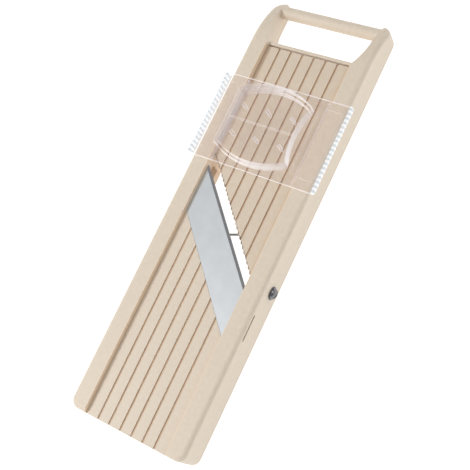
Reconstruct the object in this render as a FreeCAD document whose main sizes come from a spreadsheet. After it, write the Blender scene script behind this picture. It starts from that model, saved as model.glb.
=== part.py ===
import FreeCAD, Part

import math
import os

import Sketcher

# Mandoline slicer: a long plastic frame with a sloping-edged blade, an adjustable ramp
# ahead of it and a clear finger guard that slides along the rails.
# X runs across the slicer, Y along it towards the handle, Z up from the table.
# The origin is on the table under the middle of the slicer. Millimetres.

SIZES = {
    # frame
    "overall_length": 320.0,
    "overall_width": 92.0,
    "channel_width": 66.0,
    "rail_height": 24.0,
    "bed_level": 20.8,
    "bed_underside": 15.2,
    "foot_corner_radius": 6.5,
    "nose_corner_radius": 9.0,
    "nose_inner_end": 159.87,
    "nose_arc_radius": 62.0,
    "nose_arc_start": 122.0,
    "nose_tip_level": 10.99,
    "nose_under_radius": 5.0,
    "rail_outer_round": 3.0,
    "flare_start": 121.5,
    "flare_end": 141.0,
    "flare_depth": 5.5,
    "flare_radius": 37.3,
    "handle_bar_radius": 4.55,
    "handle_bar_along": 152.5,
    "handle_bar_level": 11.1,
    "handle_bar_socket": 3.0,
    "cross_bar_start": 121.8,
    "cross_bar_end": 124.0,
    "cross_bar_underside": 13.0,
    # grooves shared by the bed and the ramp
    "groove_spacing": 9.09,
    "groove_width": 1.6,
    "groove_depth": 0.9,
    # blade: both long edges are straight lines, given by where they cross X = 0
    "blade_slope": 1.065,
    "edge_crossing": -9.9,
    "rear_crossing": -44.9,
    "blade_thickness": 1.2,
    "bevel_width": 1.8,
    "bevel_land": 0.12,
    "recess_play": 0.15,
    "bed_setback": 5.0,
    "tang_reach": 9.0,
    "tang_start": -76.0,
    "tang_end": -58.0,
    "tang_slot_height": 1.9,
    "stud_radius": 2.0,
    "stud_length": 10.0,
    "stud_offset_across": 18.0,
    "stud_behind_edge": 24.0,
    "nut_across_flats": 7.0,
    "nut_height": 3.2,
    "washer_radius": 4.5,
    "washer_thickness": 0.8,
    # gusset at the left end of the throat, and the strut across it
    "gusset_reach": 3.7,
    "gusset_start": 10.0,
    "gusset_corner": 24.8,
    "gusset_end": 27.3,
    "gusset_top": 12.3,
    "gusset_depth": 6.0,
    "strut_thickness": 0.7,
    "strut_bottom": 8.5,
    "strut_top": 11.5,
    "strut_slope": 0.36,
    "strut_crossing": -13.55,
    "strut_left": -9.0,
    "strut_seat": 1.6,
    "strut_bury": 4.0,
    # ramp
    "ramp_drop": 1.0,
    "ramp_thickness": 3.5,
    "ramp_side_play": 0.4,
    "ramp_end": 120.8,
    "tooth_count": 26.0,
    "tooth_edge_slope": 1.094,
    "tooth_edge_crossing": -1.9,
    "tooth_face_share": 0.5,
    "pivot_along": 115.5,
    "pivot_level": 14.5,
    "pivot_pin_radius": 2.0,
    "pivot_play": 0.06,
    "pivot_pin_bury": 5.0,
    "knuckle_radius": 3.6,
    "knuckle_length": 12.0,
    "knuckle_inset": 2.5,
    "ramp_rib_height": 3.0,
    "ramp_rib_width": 2.0,
    "ramp_rib_across": 20.0,
    "ramp_rib_start": 62.0,
    "ramp_rib_end": 112.5,
    # adjusting screw
    "screw_along": 48.0,
    "screw_journal_radius": 3.0,
    "screw_thread_radius": 2.75,
    "screw_top": 15.4,
    "screw_lead": 0.8,
    "screw_tip_radius": 2.0,
    "journal_play": 0.06,
    "insert_radius": 4.0,
    "insert_bottom": 12.8,
    "insert_top": 18.3,
    "insert_bore_radius": 3.0,
    "boss_radius": 7.0,
    "bridge_length": 20.0,
    "bridge_bottom": 6.0,
    "bridge_top": 9.0,
    "bridge_flange_top": 11.0,
    "bridge_flange_width": 2.0,
    "bush_radius": 4.2,
    "clip_radius": 4.9,
    "clip_groove_radius": 2.4,
    "clip_thickness": 0.7,
    "clip_gap": 0.2,
    "knob_radius": 13.0,
    "knob_bottom": 0.8,
    "knob_floor": 1.0,
    "knob_top": 5.3,
    "knob_flute_radius": 1.1,
    "knob_flutes": 24.0,
    "thrust_washer_radius": 7.5,
    "thrust_washer_thickness": 0.5,
    # side clamp screw
    "clamp_along": -39.4,
    "clamp_level": 10.0,
    "clamp_shank_radius": 2.5,
    "clamp_tip": 34.0,
    "clamp_seat_gap": 0.05,
    "clamp_hole_radius": 2.8,
    "clamp_head_radius": 4.25,
    "clamp_head_height": 3.0,
    "clamp_slot_width": 1.1,
    "clamp_slot_depth": 1.3,
    "clamp_washer_radius": 4.6,
    "clamp_washer_thickness": 0.6,
    "clamp_insert_radius": 4.0,
    "clamp_insert_start": 37.0,
    "clamp_insert_end": 44.0,
    "clamp_play": 0.06,
    # finger guard
    "guard_half_width": 49.8,
    "guard_start": 27.5,
    "guard_end": 91.5,
    "guard_gap": 0.2,
    "guard_plate": 2.3,
    "guard_corner_radius": 1.5,
    "guard_top_round": 0.5,
    "guard_end_inset": 1.0,
    "guard_root": 0.5,
    "grip_count": 14.0,
    "grip_pitch": 3.35,
    "grip_depth": 1.2,
    "grip_radius": 1.8,
    "grip_scallop_rise": 0.2,
    "grip_rail_width": 2.4,
    "grip_rail_drop": 2.6,
    "grip_rail_gap": 0.5,
    "guide_rib_width": 1.4,
    "guide_rib_play": 0.5,
    "guide_rib_bottom": 21.4,
    "cup_left": -30.0,
    "cup_right": 21.5,
    "cup_start": 38.0,
    "cup_end": 81.0,
    "cup_corner_flare": 4.5,
    "cup_corner_round": 2.6,
    "cup_top_round": 1.1,
    "cup_end_arc": 56.0,
    "cup_right_arc": 54.0,
    "cup_height": 8.2,
    "cup_wall": 1.8,
    "cup_roof": 1.8,
    "web_along": 59.0,
    "web_thickness": 1.0,
    "web_height": 0.9,
    "spike_radius": 1.0,
    "spike_tip_level": 22.4,
    "spike_cone_height": 3.0,
    "spike_point_radius": 0.15,
    "spike_column_pitch": 19.0,
    "spike_middle_column": -3.6,
    "spike_row_pitch": 20.5,
    "spike_middle_row": 59.6,
    "flange_recess_depth": 0.6,
    "flange_recess_radius": 4.0,
    "flange_recess_start": 34.5,
    "flange_recess_end": 85.0,
    "flange_recess_outer": 46.0,
    "left_recess_inner": 36.0,
    "right_recess_inner": 28.5,
}


class Dim:
    """A size that knows its number and the spreadsheet expression it comes from."""

    def __init__(self, number, text):
        self.number = float(number)
        self.text = text

    def _join(self, other, sign, number):
        return Dim(number, "(%s %s %s)" % (self.text, sign, as_dim(other).text))

    def __add__(self, other):
        return self._join(other, "+", self.number + as_dim(other).number)

    def __sub__(self, other):
        return self._join(other, "-", self.number - as_dim(other).number)

    def __mul__(self, other):
        return self._join(other, "*", self.number * as_dim(other).number)

    def __truediv__(self, other):
        return self._join(other, "/", self.number / as_dim(other).number)

    def __radd__(self, other):
        return as_dim(other) + self

    def __rsub__(self, other):
        return as_dim(other) - self

    def __rmul__(self, other):
        return as_dim(other) * self

    def __neg__(self):
        return as_dim(0) - self


def as_dim(value):
    """Wrap a plain number, and leave a Dim as it is."""
    if isinstance(value, Dim):
        return value
    return Dim(value, "%.6f" % value if value >= 0 else "(%.6f)" % value)


doc = FreeCAD.newDocument("mandoline_slicer")
sheet = doc.addObject("Spreadsheet::Sheet", "Sizes")
for row, (alias, number) in enumerate(SIZES.items(), start=1):
    sheet.set("A%d" % row, alias)
    sheet.set("B%d" % row, str(number))
    sheet.setAlias("B%d" % row, alias)
doc.recompute()


def size(alias):
    """The named cell of the sheet as a Dim."""
    return Dim(SIZES[alias], "Sizes." + alias)


PARTS = []


def keep(node, label):
    """Name a finished piece and put it on the list that is written out."""
    node.Label = label
    PARTS.append(node)
    return node


# ---------------------------------------------------------------- building blocks

def bind(node, prop, value):
    """Drive one property of a feature from the sheet."""
    node.setExpression(prop, as_dim(value).text)


def place(node, position, axis=(0, 0, 1), angle=0.0):
    """Put a feature at a position bound to the sheet, turned about an axis."""
    vector = FreeCAD.Vector(*[as_dim(value).number for value in position])
    node.Placement = FreeCAD.Placement(vector, FreeCAD.Rotation(FreeCAD.Vector(*axis), angle))
    for name, value in zip("xyz", position):
        bind(node, "Placement.Base." + name, value)


def box(low, high):
    """A block between two corners."""
    node = doc.addObject("Part::Box", "Block")
    for prop, a, b in zip(("Length", "Width", "Height"), low, high):
        bind(node, prop, as_dim(b) - a)
    place(node, low)
    return node


TURN_TO_AXIS = {"X": ((0, 1, 0), 90.0), "Y": ((1, 0, 0), -90.0), "Z": ((0, 0, 1), 0.0)}


def rod(radius, length, start, along="Z"):
    """A cylinder from a start point along a row axis."""
    node = doc.addObject("Part::Cylinder", "Rod")
    bind(node, "Radius", radius)
    bind(node, "Height", length)
    place(node, start, *TURN_TO_AXIS[along])
    return node


def cone(radius_start, radius_end, length, start, along="Z"):
    """A cone or frustum from a start point along a row axis."""
    node = doc.addObject("Part::Cone", "Taper")
    bind(node, "Radius1", radius_start)
    bind(node, "Radius2", radius_end)
    bind(node, "Height", length)
    place(node, start, *TURN_TO_AXIS[along])
    return node


def cut(base, *tools):
    """The base with each tool taken away."""
    for tool in tools:
        node = doc.addObject("Part::Cut", "Cut")
        node.Base = base
        node.Tool = tool
        base = node
    return base


def fuse(*shapes):
    """One solid from several that touch or overlap."""
    node = doc.addObject("Part::MultiFuse", "Join")
    node.Shapes = list(shapes)
    node.Refine = True
    return node


def group(*shapes):
    """Several separate solids in one node."""
    node = doc.addObject("Part::Compound", "Group")
    node.Links = list(shapes)
    return node


def common(a, b):
    """What two shapes share."""
    node = doc.addObject("Part::MultiCommon", "Common")
    node.Shapes = [a, b]
    return node


def round_edges(base, chosen, radius):
    """Round the edges that the test chooses."""
    doc.recompute()
    picked = [index for index, edge in enumerate(base.Shape.Edges, start=1) if chosen(edge)]
    node = doc.addObject("Part::Fillet", "Round")
    node.Base = base
    node.Edges = [(index, radius.number, radius.number) for index in picked]
    return node


class Outline:
    """A closed sketch outline made of straight runs and arcs, bound to the sheet."""

    def __init__(self, start):
        self.points = [start]
        self.arcs = []

    def line(self, *points):
        """Straight runs to each point in turn."""
        for point in points:
            self.points.append(point)
            self.arcs.append(None)
        return self

    def arc(self, point, radius, turn):
        """An arc to a point; turn is +1 for anticlockwise and -1 for clockwise."""
        self.points.append(point)
        self.arcs.append((as_dim(radius), turn))
        return self

    def close(self):
        """Straight back to the start."""
        self.arcs.append(None)
        return self

    def vertex(self, index):
        point = self.points[index % len(self.points)]
        return FreeCAD.Vector(as_dim(point[0]).number, as_dim(point[1]).number, 0)

    def geometry(self, index):
        """The line or arc that leaves a vertex, as sketch geometry."""
        start = self.vertex(index)
        end = self.vertex(index + 1)
        if self.arcs[index] is None:
            return Part.LineSegment(start, end)
        radius, turn = self.arcs[index]
        half = (end - start).Length / 2
        rise = math.sqrt(max(radius.number ** 2 - half ** 2, 0.0))
        side = FreeCAD.Vector(start.y - end.y, end.x - start.x, 0).normalize()
        centre = (start + end) / 2 + side * rise * turn
        angles = [math.atan2(p.y - centre.y, p.x - centre.x) for p in (start, end)]
        if turn < 0:
            angles.reverse()
        circle = Part.Circle(centre, FreeCAD.Vector(0, 0, 1), radius.number)
        return Part.ArcOfCircle(circle, *angles)

    def pad(self, plane, depth, offset):
        """Pad the outline from an origin plane, starting at an offset along its normal."""
        body = doc.addObject("PartDesign::Body", "Body")
        sketch = body.newObject("Sketcher::SketchObject", "Profile")
        support = [f for f in body.Origin.OriginFeatures if f.Role == plane][0]
        sketch.AttachmentSupport = (support, "")
        sketch.MapMode = "FlatFace"
        sketch.setExpression("AttachmentOffset.Base.z", as_dim(offset).text)
        self.draw(sketch)
        pad = body.newObject("PartDesign::Pad", "Pad")
        pad.Profile = sketch
        pad.Length = as_dim(depth).number
        bind(pad, "Length", depth)
        body.Tip = pad
        return body

    def draw(self, sketch):
        """Add the geometry and pin every vertex and radius to its expression."""
        count = len(self.points)
        forwards = []
        for index in range(count):
            sketch.addGeometry(self.geometry(index), False)
            stored = sketch.Geometry[index].StartPoint
            forwards.append((stored - self.vertex(index)).Length < 1e-6)
        for index in range(count):
            ends = (1, 2) if forwards[index] else (2, 1)
            following = (index + 1) % count
            start_of_next = 1 if forwards[following] else 2
            sketch.addConstraint(
                Sketcher.Constraint("Coincident", index, ends[1], following, start_of_next))
        for index in range(count):
            here = 1 if forwards[index] else 2
            for kind, value in zip(("DistanceX", "DistanceY"), self.points[index]):
                value = as_dim(value)
                number = sketch.addConstraint(
                    Sketcher.Constraint(kind, -1, 1, index, here, value.number))
                sketch.setExpression("Constraints[%d]" % number, value.text)
            if self.arcs[index] is not None:
                radius = self.arcs[index][0]
                number = sketch.addConstraint(
                    Sketcher.Constraint("Radius", index, radius.number))
                sketch.setExpression("Constraints[%d]" % number, radius.text)


# ---------------------------------------------------------------- shared places

HALF_LENGTH = size("overall_length") / 2
HALF_WIDTH = size("overall_width") / 2
HALF_CHANNEL = size("channel_width") / 2
RAIL_TOP = size("rail_height")
BED_LEVEL = size("bed_level")
BED_UNDERSIDE = size("bed_underside")
BLADE_UNDERSIDE = BED_LEVEL - size("blade_thickness")
RAMP_LEVEL = BED_LEVEL - size("ramp_drop")
RAMP_UNDERSIDE = RAMP_LEVEL - size("ramp_thickness")
GUARD_UNDERSIDE = RAIL_TOP + size("guard_gap")
GUARD_LEVEL = GUARD_UNDERSIDE + size("guard_plate")
GROOVES = range(6)
MIDDLE_GROOVE = 2.5
PAST = 1.0


def blade_line(crossing, across):
    """Y of a line along the blade, from where it crosses X = 0."""
    return crossing - size("blade_slope") * across


def grooves(start, end, level):
    """The lengthwise grooves between two places along Y, sunk from a level."""
    cutters = []
    for index in GROOVES:
        middle = size("groove_spacing") * (index - MIDDLE_GROOVE)
        half = size("groove_width") / 2
        low = (middle - half, start, level - size("groove_depth"))
        high = (middle + half, end, level + PAST)
        cutters.append(box(low, high))
    return fuse(*cutters)


# ---------------------------------------------------------------- frame

def rail_blank(side):
    """A rail with its plan corners, flared hand opening and rounded nose; side is -1 or +1."""
    outer = HALF_WIDTH * side
    inner = HALF_CHANNEL * side
    flared = (HALF_CHANNEL + size("flare_depth")) * side
    foot = size("foot_corner_radius")
    nose = size("nose_corner_radius")
    turn = -side
    plan = Outline((inner, -HALF_LENGTH))
    plan.line((inner, size("flare_start")))
    plan.arc((flared, size("flare_end")), size("flare_radius"), -turn)
    plan.line((flared, size("nose_inner_end")))
    plan.arc((outer, HALF_LENGTH - nose), nose, turn)
    plan.line((outer, foot - HALF_LENGTH))
    plan.arc((outer - foot * side, -HALF_LENGTH), foot, turn)
    plan.close()
    under = size("nose_under_radius")
    profile = Outline((-HALF_LENGTH, 0))
    profile.line((HALF_LENGTH - under, 0))
    profile.arc((HALF_LENGTH, under), under, 1)
    profile.line((HALF_LENGTH, size("nose_tip_level")))
    profile.arc((size("nose_arc_start"), RAIL_TOP), size("nose_arc_radius"), 1)
    profile.line((-HALF_LENGTH, RAIL_TOP)).close()
    tall = plan.pad("XY_Plane", RAIL_TOP, 0)
    wide = profile.pad("YZ_Plane", HALF_WIDTH * 2, -HALF_WIDTH)
    blank = common(tall, wide)

    def on_outer_top(edge):
        middle = edge.valueAt((edge.FirstParameter + edge.LastParameter) / 2)
        beyond = middle.x * side > SIZES["channel_width"] / 2 + SIZES["flare_depth"] + 0.01
        return beyond and edge.BoundBox.ZMin > SIZES["nose_tip_level"] - 0.5

    return round_edges(blank, on_outer_top, size("rail_outer_round"))


def pin_hole(side):
    """The blind hole for the ramp's pivot pin."""
    depth = size("pivot_pin_bury")
    start = HALF_CHANNEL if side > 0 else -HALF_CHANNEL - depth
    return rod(size("pivot_pin_radius"), depth, (start, size("pivot_along"), size("pivot_level")), "X")


def bar_socket(side):
    """The socket for one end of the round handle bar."""
    wall = HALF_CHANNEL + size("flare_depth")
    depth = size("handle_bar_socket")
    start = wall if side > 0 else -wall - depth
    place_at = (start, size("handle_bar_along"), size("handle_bar_level"))
    return rod(size("handle_bar_radius"), depth, place_at, "X")


def left_rail():
    """The plain rail, with the small gusset that closes the left end of the throat."""
    rail = cut(rail_blank(-1), pin_hole(-1), bar_socket(-1))
    reach = size("gusset_reach") - HALF_CHANNEL
    gusset = Outline((-HALF_CHANNEL - PAST, size("gusset_start")))
    gusset.line((reach, size("gusset_start")), (reach, size("gusset_corner")))
    gusset.line((-HALF_CHANNEL, size("gusset_end")), (-HALF_CHANNEL - PAST, size("gusset_end"))).close()
    depth = size("gusset_depth")
    keep(fuse(rail, gusset.pad("XY_Plane", depth, size("gusset_top") - depth)), "left_rail")


def right_rail():
    """The rail with the blade's tang slot and the side clamp screw's hole."""
    slot_low = (HALF_CHANNEL - PAST, size("tang_start"), BED_LEVEL - size("tang_slot_height"))
    slot = box(slot_low, (HALF_WIDTH + PAST, size("tang_end"), BED_LEVEL))
    level = (size("clamp_along"), size("clamp_level"))
    insert_depth = size("clamp_insert_end") - HALF_CHANNEL + PAST
    pocket = rod(size("clamp_insert_radius"), insert_depth, (HALF_CHANNEL - PAST, *level), "X")
    hole = rod(size("clamp_hole_radius"), HALF_WIDTH * 2, (HALF_CHANNEL, *level), "X")
    keep(cut(rail_blank(1), pin_hole(1), bar_socket(1), slot, pocket, hole), "right_rail")


def handle_bar():
    """The round grip bar between the rail noses."""
    reach = HALF_CHANNEL + size("flare_depth") + size("handle_bar_socket")
    start = (-reach, size("handle_bar_along"), size("handle_bar_level"))
    keep(rod(size("handle_bar_radius"), reach * 2, start, "X"), "handle_bar")


def end_cross_bar():
    """The slim bar across the channel at the handle end of the ramp."""
    low = (-HALF_CHANNEL, size("cross_bar_start"), size("cross_bar_underside"))
    keep(box(low, (HALF_CHANNEL, size("cross_bar_end"), BED_LEVEL)), "end_cross_bar")


def stud_places():
    """The two stud positions, on a line behind the blade's sharp edge."""
    crossing = size("edge_crossing") - size("stud_behind_edge")
    across = size("stud_offset_across")
    return [(side * across, blade_line(crossing, side * across)) for side in (-1, 1)]


def bed_outline(limit):
    """The bed's plan, from the foot to a sloping line."""
    outline = Outline((-HALF_CHANNEL, -HALF_LENGTH))
    outline.line((HALF_CHANNEL, -HALF_LENGTH))
    outline.line((HALF_CHANNEL, blade_line(limit, HALF_CHANNEL)))
    outline.line((-HALF_CHANNEL, blade_line(limit, -HALF_CHANNEL)))
    return outline.close()


def lower_bed():
    """The grooved bed below the blade, recessed so that the blade lies flush."""
    under_edge = size("edge_crossing") - size("bed_setback")
    base = bed_outline(under_edge).pad("XY_Plane", BLADE_UNDERSIDE - BED_UNDERSIDE, BED_UNDERSIDE)
    behind = size("rear_crossing") - size("recess_play")
    top = bed_outline(behind).pad("XY_Plane", size("blade_thickness"), BLADE_UNDERSIDE)
    bed = fuse(base, top)
    holes = [rod(size("stud_radius"), BED_LEVEL, (x, y, 0)) for x, y in stud_places()]
    cutters = grooves(-HALF_LENGTH - PAST, HALF_LENGTH, BED_LEVEL)
    keep(cut(bed, cutters, *holes), "lower_bed")


def throat_strut():
    """The thin steel strip on edge that ties the bed's sloping edge to the right rail."""
    slope = size("strut_slope")

    def along(across):
        return size("strut_crossing") + slope * across

    half = size("strut_thickness") / 2 * math.sqrt(1 + SIZES["strut_slope"] ** 2)
    left = size("strut_left")
    outline = Outline((left, along(left) - half))
    outline.line((HALF_CHANNEL, along(HALF_CHANNEL) - half))
    outline.line((HALF_CHANNEL, along(HALF_CHANNEL) + half))
    outline.line((left, along(left) + half)).close()
    height = size("strut_top") - size("strut_bottom")
    strip = outline.pad("XY_Plane", height, size("strut_bottom"))
    low = (left - size("strut_bury"), along(left) - size("strut_bury"), size("strut_bottom"))
    foot = box(low, (left + size("strut_seat"), along(left) + half, BED_UNDERSIDE))
    keep(fuse(strip, foot), "throat_strut")


def screw_bridge():
    """The channel-section cross member that carries the adjusting screw."""
    near = size("screw_along") - size("bridge_length") / 2
    far = size("screw_along") + size("bridge_length") / 2
    web = box((-HALF_CHANNEL, near, size("bridge_bottom")), (HALF_CHANNEL, far, size("bridge_top")))
    flange = size("bridge_flange_width")
    top = size("bridge_flange_top")
    front = box((-HALF_CHANNEL, near, size("bridge_bottom")), (HALF_CHANNEL, near + flange, top))
    back = box((-HALF_CHANNEL, far - flange, size("bridge_bottom")), (HALF_CHANNEL, far, top))
    hole = rod(size("bush_radius"), RAIL_TOP, (0, size("screw_along"), 0))
    keep(cut(fuse(web, front, back), hole), "screw_bridge")


# ---------------------------------------------------------------- blade

def main_blade():
    """The flat steel blade: a leaning strip with a ground bevel and a tang in the right rail."""
    edge = size("edge_crossing")
    rear = size("rear_crossing")
    outline = Outline((-HALF_CHANNEL, blade_line(rear, -HALF_CHANNEL)))
    outline.line((HALF_CHANNEL, blade_line(rear, HALF_CHANNEL)))
    outline.line((HALF_CHANNEL, blade_line(edge, HALF_CHANNEL)))
    outline.line((-HALF_CHANNEL, blade_line(edge, -HALF_CHANNEL))).close()
    plate = outline.pad("XY_Plane", size("blade_thickness"), BLADE_UNDERSIDE)
    tang_end = HALF_CHANNEL + size("tang_reach")
    tang = box((HALF_CHANNEL - PAST, size("tang_start"), BLADE_UNDERSIDE),
               (tang_end, size("tang_end"), BED_LEVEL))
    keep(cut(fuse(plate, tang), bevel_cutter()), "main_blade")


def bevel_cutter():
    """A long wedge that grinds the bevel on the blade's top face."""
    width = size("bevel_width")
    fall = size("blade_thickness") - size("bevel_land")
    wedge = Outline((-width, 0)).line((PAST, -fall - PAST * fall / width)).line((PAST, PAST))
    body = wedge.line((-width, PAST)).close().pad("XZ_Plane", size("overall_length"), 0)
    angle = math.degrees(math.atan(SIZES["blade_slope"]))
    middle = FreeCAD.Vector(0, SIZES["edge_crossing"], SIZES["bed_level"])
    turn = FreeCAD.Rotation(FreeCAD.Vector(0, 0, 1), 90.0 - angle)
    reach = turn.multVec(FreeCAD.Vector(0, SIZES["overall_length"] / 2, 0))
    body.Placement = FreeCAD.Placement(middle + reach, turn)
    return body


def blade_fixings():
    """Studs welded under the blade, with a washer and a nut on each below the bed."""
    studs = []
    washers = []
    nuts = []
    radius = size("stud_radius")
    washer = size("washer_thickness")
    for x, y in stud_places():
        bottom = BLADE_UNDERSIDE - size("stud_length")
        studs.append(rod(radius, size("stud_length"), (x, y, bottom)))
        low = BED_UNDERSIDE - washer
        disc = rod(size("washer_radius"), washer, (x, y, low))
        washers.append(cut(disc, rod(radius, RAIL_TOP, (x, y, 0))))
        nuts.append(hex_nut(x, y, low - size("nut_height")))
    keep(group(*studs), "blade_studs")
    keep(group(*washers), "blade_washers")
    keep(group(*nuts), "blade_nuts")


def hex_nut(x, y, bottom):
    """A hexagon nut around a stud."""
    prism = doc.addObject("Part::Prism", "Hexagon")
    prism.Polygon = 6
    bind(prism, "Circumradius", size("nut_across_flats") / math.sqrt(3))
    bind(prism, "Height", size("nut_height"))
    place(prism, (x, y, bottom))
    return cut(prism, rod(size("stud_radius"), RAIL_TOP, (x, y, 0)))


# ---------------------------------------------------------------- ramp

def toothed_outline():
    """The ramp's plan: square at the handle end and saw-toothed along the throat."""
    half = HALF_CHANNEL - size("ramp_side_play")
    slope = size("tooth_edge_slope")
    count = int(SIZES["tooth_count"])
    pitch = half * 2 / size("tooth_count")
    outline = Outline((half, size("ramp_end")))
    outline.line((-half, size("ramp_end")))
    for tooth in range(count):
        across = pitch * tooth - half
        root = size("tooth_edge_crossing") - slope * across
        outline.line((across, root))
        outline.line((across + pitch * size("tooth_face_share"), root))
    outline.line((half, size("tooth_edge_crossing") - slope * half))
    return outline.close()


def upper_ramp():
    """The adjustable ramp with its grooves, hinge knuckles, screw boss and stiffening ribs."""
    plate = toothed_outline().pad("XY_Plane", size("ramp_thickness"), RAMP_UNDERSIDE)
    along = size("pivot_along")
    level = size("pivot_level")
    half = HALF_CHANNEL - size("knuckle_inset")
    long = size("knuckle_length")
    knuckles = [rod(size("knuckle_radius"), long, (x, along, level), "X") for x in (-half, half - long)]
    boss_height = RAMP_UNDERSIDE - size("insert_bottom")
    boss = rod(size("boss_radius"), boss_height, (0, size("screw_along"), size("insert_bottom")))
    ribs = []
    for side in (-1, 1):
        middle = size("ramp_rib_across") * side
        low = (middle - size("ramp_rib_width") / 2, size("ramp_rib_start"),
               RAMP_UNDERSIDE - size("ramp_rib_height"))
        high = (middle + size("ramp_rib_width") / 2, size("ramp_rib_end"), RAMP_UNDERSIDE)
        ribs.append(box(low, high))
    bore = size("pivot_pin_radius") + size("pivot_play")
    pin_bore = rod(bore, HALF_CHANNEL * 2, (-HALF_CHANNEL, along, level), "X")
    insert_hole = rod(size("insert_radius"), size("insert_top") - size("insert_bottom"),
                      (0, size("screw_along"), size("insert_bottom")))
    cutters = grooves(-HALF_LENGTH, size("ramp_end") + PAST, RAMP_LEVEL)
    ramp = cut(fuse(plate, boss, *knuckles, *ribs), pin_bore, insert_hole, cutters)
    keep(ramp, "upper_ramp")


def ramp_hardware():
    """The steel hinge pin in the rails and the brass threaded insert in the ramp's boss."""
    reach = HALF_CHANNEL + size("pivot_pin_bury")
    start = (-reach, size("pivot_along"), size("pivot_level"))
    keep(rod(size("pivot_pin_radius"), reach * 2, start, "X"), "ramp_pivot_pin")
    bottom = (0, size("screw_along"), size("insert_bottom"))
    long = size("insert_top") - size("insert_bottom")
    insert = cut(rod(size("insert_radius"), long, bottom), rod(size("insert_bore_radius"), long, bottom))
    keep(insert, "ramp_insert")


# ---------------------------------------------------------------- adjusting screw

def ring(outer, inner, bottom, height):
    """A flat ring around the adjusting screw's axis."""
    start = (0, size("screw_along"), bottom)
    return cut(rod(outer, height, start), rod(inner, height, start))


def adjusting_screw():
    """The steel screw: a plain journal in the bush, a clip groove and the thread above."""
    along = size("screw_along")
    knob_floor = size("knob_bottom") + size("knob_floor")
    groove = size("bridge_top") + size("clip_gap")
    groove_end = groove + size("clip_thickness")
    journal = rod(size("screw_journal_radius"), groove - knob_floor, (0, along, knob_floor))
    neck = rod(size("clip_groove_radius"), size("clip_thickness"), (0, along, groove))
    tip = size("screw_lead")
    thread = rod(size("screw_thread_radius"), size("screw_top") - groove_end - tip, (0, along, groove_end))
    lead = cone(size("screw_thread_radius"), size("screw_tip_radius"), tip,
                (0, along, size("screw_top") - tip))
    keep(fuse(journal, neck, thread, lead), "adjusting_screw")


def screw_hardware():
    """The bush in the bridge, the clip above it, and the washer and knob below it."""
    bridge = size("bridge_bottom")
    journal = size("screw_journal_radius")
    bore = journal + size("journal_play")
    keep(ring(size("bush_radius"), bore, bridge, size("bridge_top") - bridge), "bridge_bush")
    clip_level = size("bridge_top") + size("clip_gap")
    clip = ring(size("clip_radius"), size("clip_groove_radius"), clip_level, size("clip_thickness"))
    mouth = size("clip_groove_radius") * 0.8
    gap = box((-mouth, size("screw_along"), clip_level - PAST),
              (mouth, size("screw_along") + size("clip_radius") + PAST, clip_level + PAST))
    keep(cut(clip, gap), "screw_clip")
    washer_level = size("knob_top")
    washer = ring(size("thrust_washer_radius"), journal, washer_level, size("thrust_washer_thickness"))
    keep(washer, "thrust_washer")


def adjusting_knob():
    """The fluted plastic thumb knob pressed on the lower end of the screw."""
    along = size("screw_along")
    bottom = size("knob_bottom")
    height = size("knob_top") - bottom
    disc = rod(size("knob_radius"), height, (0, along, bottom))
    hole = rod(size("screw_journal_radius"), height, (0, along, bottom + size("knob_floor")))
    flutes = []
    count = int(SIZES["knob_flutes"])
    for index in range(count):
        turn = 2 * math.pi * index / count
        x = size("knob_radius") * math.cos(turn)
        y = along + size("knob_radius") * math.sin(turn)
        flutes.append(rod(size("knob_flute_radius"), height + PAST * 2, (x, y, bottom - PAST)))
    keep(cut(disc, hole, fuse(*flutes)), "adjusting_knob")


# ---------------------------------------------------------------- side clamp screw

def side_clamp():
    """The slotted dome-headed screw in the right rail, its washer and its brass insert."""
    level = (size("clamp_along"), size("clamp_level"))
    washer = size("clamp_washer_thickness")
    shank = size("clamp_shank_radius")
    gap = size("clamp_seat_gap")
    seat = HALF_WIDTH + gap
    head_base = seat + washer + gap
    height = size("clamp_head_height")
    ball_radius = (size("clamp_head_radius") * size("clamp_head_radius") + height * height) / (height * 2)
    ball = doc.addObject("Part::Sphere", "Ball")
    bind(ball, "Radius", ball_radius)
    place(ball, (head_base + height - ball_radius, *level))
    stock = rod(size("clamp_head_radius"), height, (head_base, *level), "X")
    stem = rod(shank, head_base - size("clamp_tip"), (size("clamp_tip"), *level), "X")
    slot_half = size("clamp_slot_width") / 2
    head_top = head_base + height
    slot_reach = size("clamp_head_radius") + PAST
    slot = box((head_top - size("clamp_slot_depth"), level[0] - slot_reach, level[1] - slot_half),
               (head_top + PAST, level[0] + slot_reach, level[1] + slot_half))
    keep(cut(fuse(common(ball, stock), stem), slot), "side_screw")
    start = (seat, *level)
    disc = rod(size("clamp_washer_radius"), washer, start, "X")
    bore = rod(shank + size("clamp_play"), washer, start, "X")
    keep(cut(disc, bore), "side_washer")
    begin = (size("clamp_insert_start"), *level)
    long = size("clamp_insert_end") - size("clamp_insert_start")
    body = rod(size("clamp_insert_radius"), long, begin, "X")
    keep(cut(body, rod(shank + size("clamp_play"), long, begin, "X")), "side_insert")


# ---------------------------------------------------------------- finger guard

def grip_edge(outline, side):
    """The scalloped finger grip along one side of the guard, walked along +Y or -Y."""
    count = int(SIZES["grip_count"])
    pitch = size("grip_pitch")
    middle = (size("guard_start") + size("guard_end")) / 2
    outer = size("guard_half_width") * side
    inner = (size("guard_half_width") - size("grip_depth")) * side
    first = middle - pitch * (count / 2) * side
    outline.line((outer, first), (inner, first))
    for index in range(count):
        along = first + pitch * (index + 1) * side
        outline.arc((inner, along), size("grip_radius"), 1)
    last = middle + pitch * (count / 2) * side
    outline.line((outer, last))
    return outline


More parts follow.
